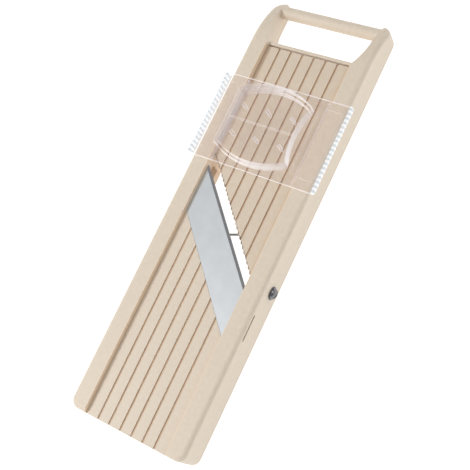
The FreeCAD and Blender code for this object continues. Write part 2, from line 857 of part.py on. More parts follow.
def plate_outline():
    """The guard plate's plan, with a scalloped grip on each long side."""
    half = size("guard_half_width")
    near = size("guard_start")
    far = size("guard_end")
    corner = size("guard_corner_radius")
    outline = Outline((-half + corner, near))
    outline.line((half - corner, near))
    outline.arc((half, near + corner), corner, 1)
    grip_edge(outline, 1)
    outline.line((half, far - corner))
    outline.arc((half - corner, far), corner, 1)
    outline.line((-half + corner, far))
    outline.arc((-half, far - corner), corner, 1)
    grip_edge(outline, -1)
    outline.line((-half, near + corner))
    outline.arc((-half + corner, near), corner, 1)
    outline.points.pop()
    return outline


def cup_outline(inset):
    """The food cup's plan: bowed ends, a straight left side and a waisted right side."""
    left = size("cup_left") + inset
    right = size("cup_right") + size("cup_corner_flare") - inset
    near = size("cup_start") + inset
    far = size("cup_end") - inset
    outline = Outline((left, near))
    outline.arc((right, near), size("cup_end_arc") - inset, 1)
    outline.arc((right, far), size("cup_right_arc") + inset, -1)
    outline.arc((left, far), size("cup_end_arc") - inset, 1)
    return outline.close()


def upright(edge):
    """True for an edge that runs straight up."""
    return edge.BoundBox.ZLength > 1.0 and edge.BoundBox.DiagonalLength - edge.BoundBox.ZLength < 0.01


def rounded_cup(inset, bottom, top, top_round):
    """A solid with the cup's plan, its upright corners and its top edge rounded."""
    block = cup_outline(inset).pad("XY_Plane", top - bottom, bottom)
    corners = round_edges(block, upright, size("cup_corner_round") - inset / 2)

    def on_top(edge):
        return edge.BoundBox.ZMin > top.number - 0.01

    return round_edges(corners, on_top, top_round)


def flange_recess(inner, side):
    """A shallow round-cornered panel sunk into the guard's side flange."""
    outer = size("flange_recess_outer") * side
    inside = inner * side
    near = size("flange_recess_start")
    far = size("flange_recess_end")
    r = size("flange_recess_radius")
    left, right = (outer, inside) if side < 0 else (inside, outer)
    outline = Outline((left + r, near))
    outline.line((right - r, near)).arc((right, near + r), r, 1)
    outline.line((right, far - r)).arc((right - r, far), r, 1)
    outline.line((left + r, far)).arc((left, far - r), r, 1)
    outline.line((left, near + r)).arc((left + r, near), r, 1)
    outline.points.pop()
    return outline.pad("XY_Plane", PAST, GUARD_LEVEL - size("flange_recess_depth"))


def guard_shell():
    """The clear moulded guard: plate, side grips, guide ribs and the raised food cup."""
    plate = plate_outline().pad("XY_Plane", size("guard_plate"), GUARD_UNDERSIDE)
    cup_top = GUARD_LEVEL + size("cup_height")
    tower = rounded_cup(as_dim(0), GUARD_UNDERSIDE, cup_top, size("cup_top_round"))
    roof_under = cup_top - size("cup_roof")
    hollow = rounded_cup(size("cup_wall"), GUARD_UNDERSIDE - PAST, roof_under, size("guard_top_round"))
    web_half = size("web_thickness") / 2
    web = box((size("cup_left") + PAST, size("web_along") - web_half, roof_under - size("web_height")),
              (size("cup_right") - PAST, size("web_along") + web_half, roof_under + size("guard_root")))
    solids = [cut(fuse(plate, tower), hollow), web]
    inner_wall = HALF_CHANNEL - size("guide_rib_play")
    near = size("guard_start") + size("guard_end_inset")
    far = size("guard_end") - size("guard_end_inset")
    outer = size("guard_half_width") - size("grip_depth") - size("grip_scallop_rise")
    rail_side = HALF_WIDTH + size("grip_rail_gap")
    root = size("guard_root")
    for side in (-1, 1):
        a, b = sorted_pair(inner_wall * side, (inner_wall - size("guide_rib_width")) * side)
        solids.append(box((a, near, size("guide_rib_bottom")), (b, far, GUARD_UNDERSIDE + root)))
        a, b = sorted_pair(rail_side * side, outer * side)
        skirt_low = GUARD_UNDERSIDE - size("grip_rail_drop")
        solids.append(box((a, near, skirt_low), (b, far, GUARD_UNDERSIDE + root)))
    recesses = [flange_recess(size("left_recess_inner"), -1), flange_recess(size("right_recess_inner"), 1)]
    keep(cut(fuse(*solids), *recesses), "guard_shell")


def sorted_pair(a, b):
    """Two Dims, the smaller first."""
    return (a, b) if a.number < b.number else (b, a)


def guard_spikes():
    """The pointed food spikes that hang from the cup's roof."""
    roof_under = GUARD_LEVEL + size("cup_height") - size("cup_roof")
    tip = size("spike_tip_level")
    point = size("spike_cone_height")
    spikes = []
    for column in (-1, 0, 1):
        for row in (-0.5, 0.5):
            x = size("spike_middle_column") + size("spike_column_pitch") * column
            y = size("spike_middle_row") + size("spike_row_pitch") * row
            stem = rod(size("spike_radius"), roof_under - tip - point, (x, y, tip + point))
            sharp = cone(size("spike_point_radius"), size("spike_radius"), point, (x, y, tip))
            spikes.append(fuse(stem, sharp))
    keep(group(*spikes), "guard_spikes")


# ---------------------------------------------------------------- build and write

def check(node):
    """Stop with a plain message if a feature or a finished shape is not sound."""
    states = set(node.State) & {"Invalid", "Error"}
    if states:
        raise SystemExit("%s (%s) is %s" % (node.Label, node.TypeId, ", ".join(states)))


def main():
    left_rail()
    right_rail()
    handle_bar()
    end_cross_bar()
    lower_bed()
    throat_strut()
    screw_bridge()
    main_blade()
    blade_fixings()
    upper_ramp()
    ramp_hardware()
    adjusting_screw()
    screw_hardware()
    adjusting_knob()
    side_clamp()
    guard_shell()
    guard_spikes()
    doc.recompute()
    for node in doc.Objects:
        check(node)
    os.makedirs("parts", exist_ok=True)
    for node in PARTS:
        shape = node.Shape
        if shape.isNull() or not shape.isValid() or not shape.Solids:
            raise SystemExit("%s has no sound solid" % node.Label)
        shape.exportStep("parts/%s.step" % node.Label)
        b = shape.BoundBox
        print("%-16s %2d solid(s) %9.1f mm3  X %6.1f %6.1f  Y %7.1f %7.1f  Z %5.1f %5.1f" % (
            node.Label, len(shape.Solids), shape.Volume, b.XMin, b.XMax, b.YMin, b.YMax, b.ZMin, b.ZMax))


main()
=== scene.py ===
"""Looks of the mandoline slicer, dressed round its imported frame. Metres, +Z up."""

import logging
import math
from dataclasses import dataclass, field
from enum import Enum

import bmesh
import bpy
from mathutils import Matrix, Vector


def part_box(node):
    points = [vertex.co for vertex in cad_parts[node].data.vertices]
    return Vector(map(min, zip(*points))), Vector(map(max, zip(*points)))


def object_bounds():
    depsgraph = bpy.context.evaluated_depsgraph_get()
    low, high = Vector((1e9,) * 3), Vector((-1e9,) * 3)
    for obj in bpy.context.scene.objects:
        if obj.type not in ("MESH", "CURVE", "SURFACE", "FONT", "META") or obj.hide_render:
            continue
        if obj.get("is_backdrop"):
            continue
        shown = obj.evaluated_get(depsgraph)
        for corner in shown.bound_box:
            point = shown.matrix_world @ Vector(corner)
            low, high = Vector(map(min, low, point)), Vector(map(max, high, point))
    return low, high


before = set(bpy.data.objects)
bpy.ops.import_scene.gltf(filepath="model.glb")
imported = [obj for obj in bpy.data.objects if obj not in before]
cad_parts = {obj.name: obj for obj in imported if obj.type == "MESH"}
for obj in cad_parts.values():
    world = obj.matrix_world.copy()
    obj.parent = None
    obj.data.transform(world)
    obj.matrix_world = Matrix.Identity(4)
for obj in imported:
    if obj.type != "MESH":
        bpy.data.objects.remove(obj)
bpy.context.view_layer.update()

Colour = tuple[float, float, float]
Span = tuple[float, float]
Socket = bpy.types.NodeSocket
Value = float | Colour | Socket

LOG = logging.getLogger("mandoline")
MM: float = 0.001
FORWARD: Vector = Vector((0.0, -1.0, 0.0))
UP: Vector = Vector((0.0, 0.0, 1.0))
BRASS: Colour = (0.72, 0.52, 0.22)
WELD_REACH: float = 0.001 * MM
FLAT_ANGLE: float = math.radians(0.5)
NOISE_ROUGHNESS: float = 0.55

# how much of a pattern from 0 to 1 a mapping uses
WIDE: Span = (0.2, 0.8)
MIDDLE: Span = (0.3, 0.7)


class Edge(Enum):
    """How far a made edge is rounded, in metres."""

    MOULDED = 0.45 * MM
    FINE = 0.18 * MM
    MACHINED = 0.1 * MM


class Grain(Enum):
    """The way that fine lines run over a metal surface."""

    NONE = "none"
    ALONG = "along"
    TURNED = "turned"


def shade_of(tone: Colour, share: float) -> Colour:
    """Darken a colour evenly.

    Args:
        tone: The colour.
        share: What each part is multiplied by.

    Returns:
        The darker colour.
    """
    return tuple(part * share for part in tone)


# ------------------------------------------------------------------ node recipes

class Recipe:
    """One procedural material while its nodes are put together."""

    def __init__(self, name: str) -> None:
        """Start an empty material with a shader and an output.

        Args:
            name: The material's name.
        """
        self.material = bpy.data.materials.new(name)
        self.material.use_nodes = True
        self.tree = self.material.node_tree
        self.tree.nodes.clear()
        self.output = self.add("ShaderNodeOutputMaterial")
        self.shader = self.add("ShaderNodeBsdfPrincipled")
        self.tree.links.new(self.shader.outputs["BSDF"], self.output.inputs["Surface"])
        self.place = self.add("ShaderNodeTexCoord").outputs["Object"]

    def add(self, kind: str, **settings: object) -> bpy.types.Node:
        """Add a node.

        Args:
            kind: The node's type name.
            settings: Properties to set on the node.

        Returns:
            The new node.
        """
        node = self.tree.nodes.new(kind)
        for name, value in settings.items():
            setattr(node, name, value)
        return node

    def feed(self, socket: Socket, value: Value) -> None:
        """Link a socket to another, or set it to a plain value.

        Args:
            socket: The input to feed.
            value: A socket, a number or a colour.
        """
        if isinstance(value, Socket):
            self.tree.links.new(value, socket)
        elif isinstance(value, tuple) and len(socket.default_value) > len(value):
            socket.default_value = (*value, 1.0)
        else:
            socket.default_value = value

    def set(self, **inputs: Value) -> None:
        """Feed the shader's inputs.

        Args:
            inputs: A value for each input, named with underscores for spaces.
        """
        for name, value in inputs.items():
            self.feed(self.shader.inputs[name.replace("_", " ")], value)

    def turned(self, angle: float, stretch: Colour) -> Socket:
        """Turn the object's own coordinates about Z and stretch them.

        Args:
            angle: The turn in radians.
            stretch: A factor for each axis, after the turn.

        Returns:
            The new coordinates.
        """
        spin = self.add("ShaderNodeMapping")
        self.feed(spin.inputs["Vector"], self.place)
        spin.inputs["Rotation"].default_value = (0.0, 0.0, angle)
        grow = self.add("ShaderNodeVectorMath", operation="MULTIPLY")
        self.feed(grow.inputs[0], spin.outputs["Vector"])
        grow.inputs[1].default_value = stretch
        return grow.outputs["Vector"]

    def noise(self, size: float, place: Socket | None = None, detail: float = 3.0) -> Socket:
        """Soft random patches.

        Args:
            size: The patches' rough size in metres.
            place: Coordinates, or None for the object's own.
            detail: How many finer layers are laid over.

        Returns:
            A value from about 0 to 1.
        """
        node = self.add("ShaderNodeTexNoise")
        self.feed(node.inputs["Vector"], place or self.place)
        node.inputs["Scale"].default_value = 1.0 / size
        node.inputs["Detail"].default_value = detail
        node.inputs["Roughness"].default_value = NOISE_ROUGHNESS
        return node.outputs["Fac"]

    def between(self, value: Value, low: float, high: float,
                start: float = 0.0, end: float = 1.0) -> Socket:
        """Map a stretch of values smoothly onto another, and hold it beyond both ends.

        Args:
            value: The value to map.
            low: Where the stretch starts.
            high: Where it ends.
            start: What low becomes.
            end: What high becomes.

        Returns:
            The mapped value.
        """
        node = self.add("ShaderNodeMapRange", interpolation_type="SMOOTHSTEP")
        for socket, number in zip(node.inputs[:5], (value, low, high, start, end)):
            self.feed(socket, number)
        return node.outputs["Result"]

    def maths(self, operation: str, first: Value, second: Value = 0.0) -> Socket:
        """Work out one sum.

        Args:
            operation: The node's operation name.
            first: The first value.
            second: The second value.

        Returns:
            The result.
        """
        node = self.add("ShaderNodeMath", operation=operation)
        self.feed(node.inputs[0], first)
        self.feed(node.inputs[1], second)
        return node.outputs["Value"]

    def blend(self, share: Value, first: Value, second: Value) -> Socket:
        """Blend two colours.

        Args:
            share: How much of the second colour shows.
            first: The first colour.
            second: The second colour.

        Returns:
            The blended colour.
        """
        node = self.add("ShaderNodeMix", data_type="RGBA")
        self.feed(node.inputs["Factor"], share)
        self.feed(node.inputs[6], first)
        self.feed(node.inputs[7], second)
        return node.outputs[2]

    def along(self, axis: str) -> Socket:
        """Pick one of the object's own coordinates.

        Args:
            axis: The axis's letter.

        Returns:
            The distance along that axis in metres.
        """
        node = self.add("ShaderNodeSeparateXYZ")
        self.feed(node.inputs[0], self.place)
        return node.outputs[axis]

    def off_middle(self) -> Socket:
        """The distance from the slicer's long middle plane.

        Returns:
            The distance in metres, never below zero.
        """
        return self.maths("ABSOLUTE", self.along("X"))

    def facing(self, direction: Vector) -> Socket:
        """How much the surface faces a direction, from -1 to 1.

        Args:
            direction: A unit vector in the object's own axes.

        Returns:
            The cosine of the angle to the direction.
        """
        node = self.add("ShaderNodeVectorMath", operation="DOT_PRODUCT")
        self.feed(node.inputs[0], self.add("ShaderNodeTexCoord").outputs["Normal"])
        node.inputs[1].default_value = direction
        return node.outputs["Value"]

    def bump(self, height: Socket, depth: float, strength: float, below: Socket | None = None) -> Socket:
        """Tilt the shading by a height pattern.

        Args:
            height: The pattern.
            depth: Its full depth in metres.
            strength: How strongly it shows.
            below: The normal that it is laid over, if any.

        Returns:
            The tilted normal.
        """
        node = self.add("ShaderNodeBump")
        self.feed(node.inputs["Height"], height)
        node.inputs["Distance"].default_value = depth
        node.inputs["Strength"].default_value = strength
        if below is not None:
            self.feed(node.inputs["Normal"], below)
        return node.outputs["Normal"]


# ------------------------------------------------------------------ finishes

@dataclass(frozen=True)
class PaintedToothShade:
    """Painted shade on the tips of the ramp's teeth and on their front faces, standing in for the shade
    between the teeth.
    """

    tone: Colour = (0.24, 0.19, 0.15)
    share: float = 0.85
    pitch: float = 2.508 * MM
    slope: float = 1.094
    crossing: float = -1.9 * MM
    reach: Span = (1.4 * MM, 1.9 * MM)
    shift: float = 0.32
    phase: Span = (0.52, 0.62)
    front: Span = (0.75, 0.97)

    def tips(self, recipe: Recipe) -> Socket:
        """Pick out the tips by their place along the slanted edge.

        Args:
            recipe: The material being made.

        Returns:
            1 on a dark tip and 0 elsewhere.
        """
        across = recipe.along("X")
        lean = recipe.maths("MULTIPLY", across, self.slope)
        inward = recipe.maths("SUBTRACT", recipe.maths("ADD", recipe.along("Y"), lean), self.crossing)
        near = recipe.between(inward, *self.reach, 1.0, 0.0)
        teeth = recipe.maths("ADD", recipe.maths("DIVIDE", across, self.pitch), self.shift)
        dash = recipe.between(recipe.maths("FRACT", teeth), *self.phase, 1.0, 0.0)
        return recipe.maths("MULTIPLY", near, dash)

    def lay(self, recipe: Recipe, colour: Socket) -> Socket:
        """Paint shade on the tips and on the teeth's front faces.

        Args:
            recipe: The material being made.
            colour: The colour below.

        Returns:
            The colour with this painted shade on it.
        """
        # painted shade: the teeth's front faces and dark dashes at the tips are darkened
        front = recipe.between(recipe.facing(FORWARD), *self.front)
        dark = recipe.maths("MAXIMUM", front, self.tips(recipe))
        return recipe.blend(recipe.maths("MULTIPLY", dark, self.share), colour, self.tone)


@dataclass(frozen=True)
class PaintedGrooveShade:
    """Painted shade: a brown tone in the grooves and on all that lies below them, and a painted shadow line
    in the seam along each rail.
    """

    top_level: float
    tone: Colour = (0.65, 0.455, 0.305)
    groove_depth: float = 0.9 * MM
    groove_rim: float = 0.1 * MM
    least: float = 0.55
    most: float = 0.95
    wall_reach: float = 33.0 * MM
    seam_near: float = 0.3 * MM
    seam_far: float = 1.5 * MM
    seam_share: float = 0.55

    def lay(self, recipe: Recipe, colour: Socket, patches: Socket) -> Socket:
        """Lay painted shade on what lies below the top face, and a painted shadow line beside the rails.

        Args:
            recipe: The material being made.
            colour: The colour below.
            patches: The plastic's mottling, which thins the tone.

        Returns:
            The colour with this painted shade on it.
        """
        floor, rim = self.top_level - self.groove_depth, self.top_level - self.groove_rim
        # painted shade in the grooves and on all that lies below the top face, thinned by the mottling
        sunk = recipe.between(recipe.along("Z"), floor, rim, 1.0, 0.0)
        groove_shade = recipe.maths("MULTIPLY", sunk, recipe.between(patches, *WIDE, self.least, self.most))
        colour = recipe.blend(groove_shade, colour, self.tone)
        # painted shadow line in the seam beside each rail
        start, full = self.wall_reach - self.seam_far, self.wall_reach - self.seam_near
        seam = recipe.between(recipe.off_middle(), start, full, 0.0, self.seam_share)
        return recipe.blend(seam, colour, self.tone)


@dataclass(frozen=True)
class PaintedWallLight:
    """Painted light: a warmer, lighter tone on the rails' inner walls, standing in for warm light bounced
    off the bed.
    """

    tone: Colour = (0.87, 0.69, 0.51)
    share: float = 0.75
    reach: Span = (33.1 * MM, 33.6 * MM)

    def lay(self, recipe: Recipe, colour: Socket) -> Socket:
        """Paint the warm bounce light on the walls.

        Args:
            recipe: The material being made.
            colour: The colour below.

        Returns:
            The colour with the painted bounce light on it.
        """
        # painted light: the inner walls are made warmer and lighter
        wall = recipe.between(recipe.off_middle(), *self.reach, self.share, 0.0)
        return recipe.blend(wall, colour, self.tone)


@dataclass(frozen=True)
class MouldedPlastic:
    """Beige plastic from a spark-eroded mould: matte grain, faint mottling and soft scuffs."""

    name: str
    tone: Colour = (0.714, 0.618, 0.505)
    # grooves and teeth lay painted shade, and walls lays painted bounce light
    grooves: PaintedGrooveShade | None = None
    walls: PaintedWallLight | None = None
    teeth: PaintedToothShade | None = None
    pale_lift: float = 1.02
    dull_shift: Colour = (0.975, 0.965, 0.95)
    fleck_share: float = 0.3
    fleck_span: Span = (0.62, 0.8)
    mottle: float = 2.6 * MM
    flecks_per_mottle: float = 6.0
    grain: float = 0.35 * MM
    grain_depth: float = 0.05 * MM
    grain_strength: float = 0.22
    scuff_size: float = 0.9 * MM
    scuff_stretch: float = 0.03
    scuff_depth: float = 0.03 * MM
    scuff_strength: float = 0.16
    scuff_span: Span = (0.5, 0.75)
    scuff_gloss: float = 0.09
    upward_span: Span = (0.7, 0.95)
    roughness: float = 0.46
    roughness_play: Span = (-0.04, 0.06)
    bending: float = 1.49
    sheen: float = 0.42

    def make(self) -> bpy.types.Material:
        """Build the material.

        Returns:
            The material, with the painted shade and painted bounce light that this moulding has.
        """
        recipe = Recipe(self.name)
        patches = recipe.noise(self.mottle, detail=4.0)
        scuffs = recipe.noise(self.scuff_size, recipe.turned(0.0, (1.0, self.scuff_stretch, 1.0)))
        fine = recipe.bump(recipe.noise(self.grain, detail=2.0), self.grain_depth, self.grain_strength)
        lines = recipe.bump(scuffs, self.scuff_depth, self.scuff_strength, fine)
        recipe.set(Base_Color=self.colour(recipe, patches), Roughness=self.rubbed(recipe, patches, scuffs))
        recipe.set(Normal=lines, IOR=self.bending, Specular_IOR_Level=self.sheen)
        return recipe.material

    def colour(self, recipe: Recipe, patches: Socket) -> Socket:
        """Mottle the plastic, fleck it and lay its painted shade and painted bounce light.

        Args:
            recipe: The material being made.
            patches: The mottling.

        Returns:
            The surface's colour.
        """
        pale = tuple(min(1.0, part * self.pale_lift) for part in self.tone)
        dull = tuple(part * shift for part, shift in zip(self.tone, self.dull_shift))
        flecks = recipe.noise(self.mottle / self.flecks_per_mottle, detail=2.0)
        colour = recipe.blend(recipe.between(patches, *MIDDLE), dull, pale)
        colour = recipe.blend(recipe.between(flecks, *self.fleck_span, 0.0, self.fleck_share), colour, dull)
        if self.walls is not None:
            colour = self.walls.lay(recipe, colour)
        if self.grooves is not None:
            colour = self.grooves.lay(recipe, colour, patches)
        if self.teeth is not None:
            colour = self.teeth.lay(recipe, colour)
        return colour

    def rubbed(self, recipe: Recipe, patches: Socket, scuffs: Socket) -> Socket:
        """Vary the gloss, with scuffs that are polished where the surface looks up.

        Args:
            recipe: The material being made.
            patches: The mottling.
            scuffs: The lengthwise scuffs.

        Returns:
            The surface's roughness.
        """
        upward = recipe.between(recipe.facing(UP), *self.upward_span)
        polish = recipe.maths("MULTIPLY", upward, recipe.between(scuffs, *self.scuff_span))
        glossy, matte = (self.roughness + play for play in self.roughness_play)
        rough = recipe.between(patches, *WIDE, glossy, matte)
        return recipe.maths("SUBTRACT", rough, recipe.maths("MULTIPLY", polish, self.scuff_gloss))


@dataclass(frozen=True)
class Steel:
    """Metal with cloudy colour and fine lines left by grinding or turning."""

    name: str
    tone: Colour = (0.62, 0.63, 0.64)
    roughness: float = 0.3
    grain: Grain = Grain.NONE
    angle: float = 0.0
    line_width: float = 0.12 * MM
    line_depth: float = 0.02 * MM
    line_strength: float = 0.12
    ground_stretch: Colour = (0.012, 1.0, 1.0)
    turned_stretch: Colour = (0.08, 0.08, 1.0)
    plain_coarseness: float = 3.0
    cloud_size: float = 9.0 * MM
    cloud_span: Span = (0.25, 0.75)
    cloud_share: float = 0.94
    roughness_play: Span = (-0.06, 0.07)

    def lines(self, recipe: Recipe) -> Socket:
        """The pattern of fine lines.

        Args:
            recipe: The material being made.

        Returns:
            The pattern's height.
        """
        if self.grain is Grain.ALONG:
            return recipe.noise(self.line_width, recipe.turned(self.angle, self.ground_stretch), detail=4.0)
        if self.grain is Grain.TURNED:
            return recipe.noise(self.line_width, recipe.turned(0.0, self.turned_stretch))
        return recipe.noise(self.line_width * self.plain_coarseness)

    def make(self) -> bpy.types.Material:
        """Build the material.

        Returns:
            The metal, with its colour and its polish.
        """
        recipe = Recipe(self.name)
        recipe.set(Base_Color=self.colour(recipe))
        self.polish(recipe)
        return recipe.material

    def colour(self, recipe: Recipe) -> Socket:
        """The metal's colour, a little cloudy.

        Args:
            recipe: The material being made.

        Returns:
            The colour.
        """
        clouds = recipe.between(recipe.noise(self.cloud_size), *self.cloud_span)
        return recipe.blend(clouds, shade_of(self.tone, self.cloud_share), self.tone)

    def polish(self, recipe: Recipe) -> None:
        """Give the surface its metal gloss and its lines.

        Args:
            recipe: The material being made.
        """
        lines = self.lines(recipe)
        rough = recipe.maths("ADD", recipe.between(lines, *WIDE, *self.roughness_play), self.roughness)
        normal = recipe.bump(lines, self.line_depth, self.line_strength)
        recipe.set(Metallic=1.0, Roughness=rough, Normal=normal)


@dataclass(frozen=True)
class BladeSteel(Steel):
    """Satin blade steel with a darker bevel that is ground crosswise."""

    bevel_tone: Colour = (0.43, 0.44, 0.455)
    bevel_facing: Vector = field(default_factory=lambda: UP.copy())
    bevel_span: Span = (0.985, 0.997)
    mark_width: float = 0.22 * MM
    mark_stretch: Colour = (1.0, 0.05, 0.05)
    mark_share: float = 0.8

    def colour(self, recipe: Recipe) -> Socket:
        """The blade's colour, with the bevel picked out by the way it faces.

        Args:
            recipe: The material being made.

        Returns:
            The colour.
        """
        bevel = recipe.between(recipe.facing(self.bevel_facing), *self.bevel_span)
        marks = recipe.noise(self.mark_width, recipe.turned(self.angle, self.mark_stretch))
        dark = shade_of(self.bevel_tone, self.mark_share)
        ground = recipe.blend(recipe.between(marks, *MIDDLE), dark, self.bevel_tone)
        return recipe.blend(bevel, super().colour(recipe), ground)


@dataclass(frozen=True)
class ClearPlastic:
    """Clear glossy plastic, nearly unseen face on and milky where it is seen along a wall, with a painted
    glow on its walls and bands of painted highlight and painted shade along its grips.
    """

    name: str
    face_tone: Colour = (0.52, 0.42, 0.40)
    wall_tone: Colour = (0.45, 0.44, 0.45)
    glow_tone: Colour = (0.95, 0.94, 0.96)
    shadow_tone: Colour = (0.94, 0.93, 0.93)
    face_share: float = 0.06
    wall_share: float = 0.7
    # painted light: how strongly the walls glow where they are seen along their face
    painted_wall_glow: float = 0.58
    grip_reach: float = 47.2 * MM
    grip_fade: float = 0.3 * MM
    grip_pitch: float = 3.35 * MM
    grip_middle: float = 59.5 * MM
    # painted shade: the grips' dark base and the dimmer glow in their gaps, between painted highlights
    grip_shade_tone: Colour = (0.13, 0.15, 0.16)
    gap_shade_tone: Colour = (0.55, 0.60, 0.625)
    gap_span: Span = (-0.6, 0.6)
    grip_share: float = 0.8
    painted_grip_highlight: float = 0.85
    smear_size: float = 11.0 * MM
    smear_span: Span = (0.35, 0.75)
    smear_share: float = 0.03
    smear_rough: float = 0.06
    hair_width: float = 0.3 * MM
    hair_depth: float = 0.006 * MM
    hair_strength: float = 0.12
    hair_angle: float = 0.35
    hair_stretch: Colour = (0.02, 1.0, 1.0)
    wave_size: float = 6.0 * MM
    wave_depth: float = 0.12 * MM
    wave_strength: float = 0.25
    roughness: float = 0.05
    bending: float = 1.52

    def make(self) -> bpy.types.Material:
        """Build the material, which lets light through and casts only a faint shadow.

        Returns:
            The material.
        """
        recipe = Recipe(self.name)
        smears = recipe.noise(self.smear_size, detail=2.0)
        self.tint(recipe, smears)
        self.gloss(recipe, smears)
        clear = recipe.add("ShaderNodeBsdfTransparent")
        recipe.feed(clear.inputs["Color"], self.shadow_tone)
        choose = recipe.add("ShaderNodeMixShader")
        recipe.feed(choose.inputs[0], recipe.add("ShaderNodeLightPath").outputs["Is Shadow Ray"])
        recipe.feed(choose.inputs[1], recipe.shader.outputs["BSDF"])
        recipe.feed(choose.inputs[2], clear.outputs["BSDF"])
        recipe.feed(recipe.output.inputs["Surface"], choose.outputs["Shader"])
        return recipe.material

    def tint(self, recipe: Recipe, smears: Socket) -> None:
        """Set how much of the plastic shows, and paint a glow on its walls and bands of painted highlight
        and painted shade on its grips.

        Args:
            recipe: The material being made.
            smears: Soft smears over the whole surface.
        """
        turned_away = recipe.add("ShaderNodeLayerWeight").outputs["Facing"]
        wall = recipe.between(turned_away, *WIDE)
        grip = recipe.between(recipe.off_middle(), self.grip_reach, self.grip_reach + self.grip_fade)
        haze = recipe.between(turned_away, *WIDE, self.face_share, self.wall_share)
        haze = recipe.maths("ADD", haze, recipe.between(smears, *self.smear_span, 0.0, self.smear_share))
        share = recipe.maths("MAXIMUM", haze, recipe.maths("MULTIPLY", grip, self.grip_share))
        # painted light: the walls glow where seen along their face, and the grips glow as painted
        # highlights
        gleam = recipe.maths("MULTIPLY", wall, self.painted_wall_glow)
        glow = recipe.maths("MAXIMUM", gleam, recipe.maths("MULTIPLY", grip, self.painted_grip_highlight))
        body = recipe.blend(wall, self.face_tone, self.wall_tone)
        # painted shade in the gaps between the grips' scallops
        gap = recipe.maths("MULTIPLY", grip, self.gaps(recipe))
        recipe.set(Base_Color=recipe.blend(grip, body, self.grip_shade_tone), Alpha=share)
        recipe.set(Emission_Color=recipe.blend(gap, self.glow_tone, self.gap_shade_tone), Emission_Strength=glow)

    def gaps(self, recipe: Recipe) -> Socket:
        """The gaps that repeat along the scalloped grips, where painted shade replaces the painted
        highlight.

        Args:
            recipe: The material being made.

        Returns:
            1 in a gap and 0 on a scallop.
        """
        steps = recipe.maths("SUBTRACT", recipe.along("Y"), self.grip_middle)
        turns = recipe.maths("MULTIPLY", recipe.maths("DIVIDE", steps, self.grip_pitch), math.tau)
        return recipe.between(recipe.maths("COSINE", turns), *self.gap_span)

    def gloss(self, recipe: Recipe, smears: Socket) -> None:
        """Give the surface its gloss, with soft waves and hairline scratches.

        Args:
            recipe: The material being made.
            smears: Soft smears over the whole surface.
        """
        wavy = recipe.bump(recipe.noise(self.wave_size, detail=1.0), self.wave_depth, self.wave_strength)
        hairs = recipe.noise(self.hair_width, recipe.turned(self.hair_angle, self.hair_stretch), detail=2.0)
        normal = recipe.bump(hairs, self.hair_depth, self.hair_strength, wavy)
        rough = recipe.between(smears, *self.smear_span, self.roughness, self.roughness + self.smear_rough)
        recipe.set(Roughness=rough, Normal=normal, IOR=self.bending)


# ------------------------------------------------------------------ mesh helpers

def soften(node: str, edge: Edge, segments: int = 2, angle: float = 38.0) -> None:
    """Round a frame piece's sharp edges with modifiers, and leave its mesh as it is.

    Args:
        node: The piece's name.
        edge: How far its edges are rounded.
        segments: How many strips make the rounding.
        angle: Edges sharper than this many degrees are rounded.
    """
    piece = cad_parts[node]
    weld = piece.modifiers.new("weld", "WELD")
    weld.merge_threshold = WELD_REACH
    flats = piece.modifiers.new("flats", "DECIMATE")
    flats.decimate_type = "DISSOLVE"
    flats.angle_limit = FLAT_ANGLE
    bevel = piece.modifiers.new("edges", "BEVEL")
    bevel.width = edge.value
    bevel.segments = segments
    bevel.limit_method = "ANGLE"
    bevel.angle_limit = math.radians(angle)
    bevel.use_clamp_overlap = False
    bevel.miter_outer = "MITER_ARC"
    shade = piece.modifiers.new("shade", "WEIGHTED_NORMAL")
    shade.keep_sharp = False
    for polygon in piece.data.polygons:
        polygon.use_smooth = True


def smooth(node: str, angle: float = 35.0) -> None:
    """Shade a frame piece smoothly, except across its sharp edges.

    Args:
        node: The piece's name.
        angle: Edges sharper than this many degrees stay crisp.
    """
    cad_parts[node].data.set_sharp_from_angle(angle=math.radians(angle))


def paint(nodes: str | tuple[str, ...], material: bpy.types.Material) -> None:
    """Give one or more frame pieces their finish.

    Args:
        nodes: The piece's name, or the names of several.
        material: The finish.
    """
    for node in (nodes,) if isinstance(nodes, str) else nodes:
        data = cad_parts[node].data
        data.materials.clear()
        data.materials.append(material)
        LOG.info("%s: %s", node, material.name)


# ------------------------------------------------------------------ sub-assemblies

@dataclass
class FrameMoulding:
    """The one-piece frame: rails, grooved bed, cross bar, grip bar and the bridge below."""

    rails: tuple[str, ...] = ("left_rail", "right_rail")
    plain: tuple[str, ...] = ("handle_bar", "end_cross_bar", "screw_bridge")
    bed: str = "lower_bed"

    def build(self) -> None:
        """Round the small mouldings' edges, and shade the rails over their own rounded shape."""
        for node in self.plain:
            soften(node, Edge.MOULDED, segments=3)
        for node in self.rails:
            smooth(node)
        soften(self.bed, Edge.FINE)

    def dress(self) -> None:
        """Give the mouldings their plastic, with painted warm bounce light on the inner walls and painted
        shade in the grooves.
        """
        paint(self.plain, MouldedPlastic("frame_plastic").make())
        paint(self.rails, MouldedPlastic("rail_plastic", walls=PaintedWallLight()).make())
        grooves = PaintedGrooveShade(top_level=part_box(self.bed)[1].z)
        paint(self.bed, MouldedPlastic("bed_plastic", grooves=grooves).make())


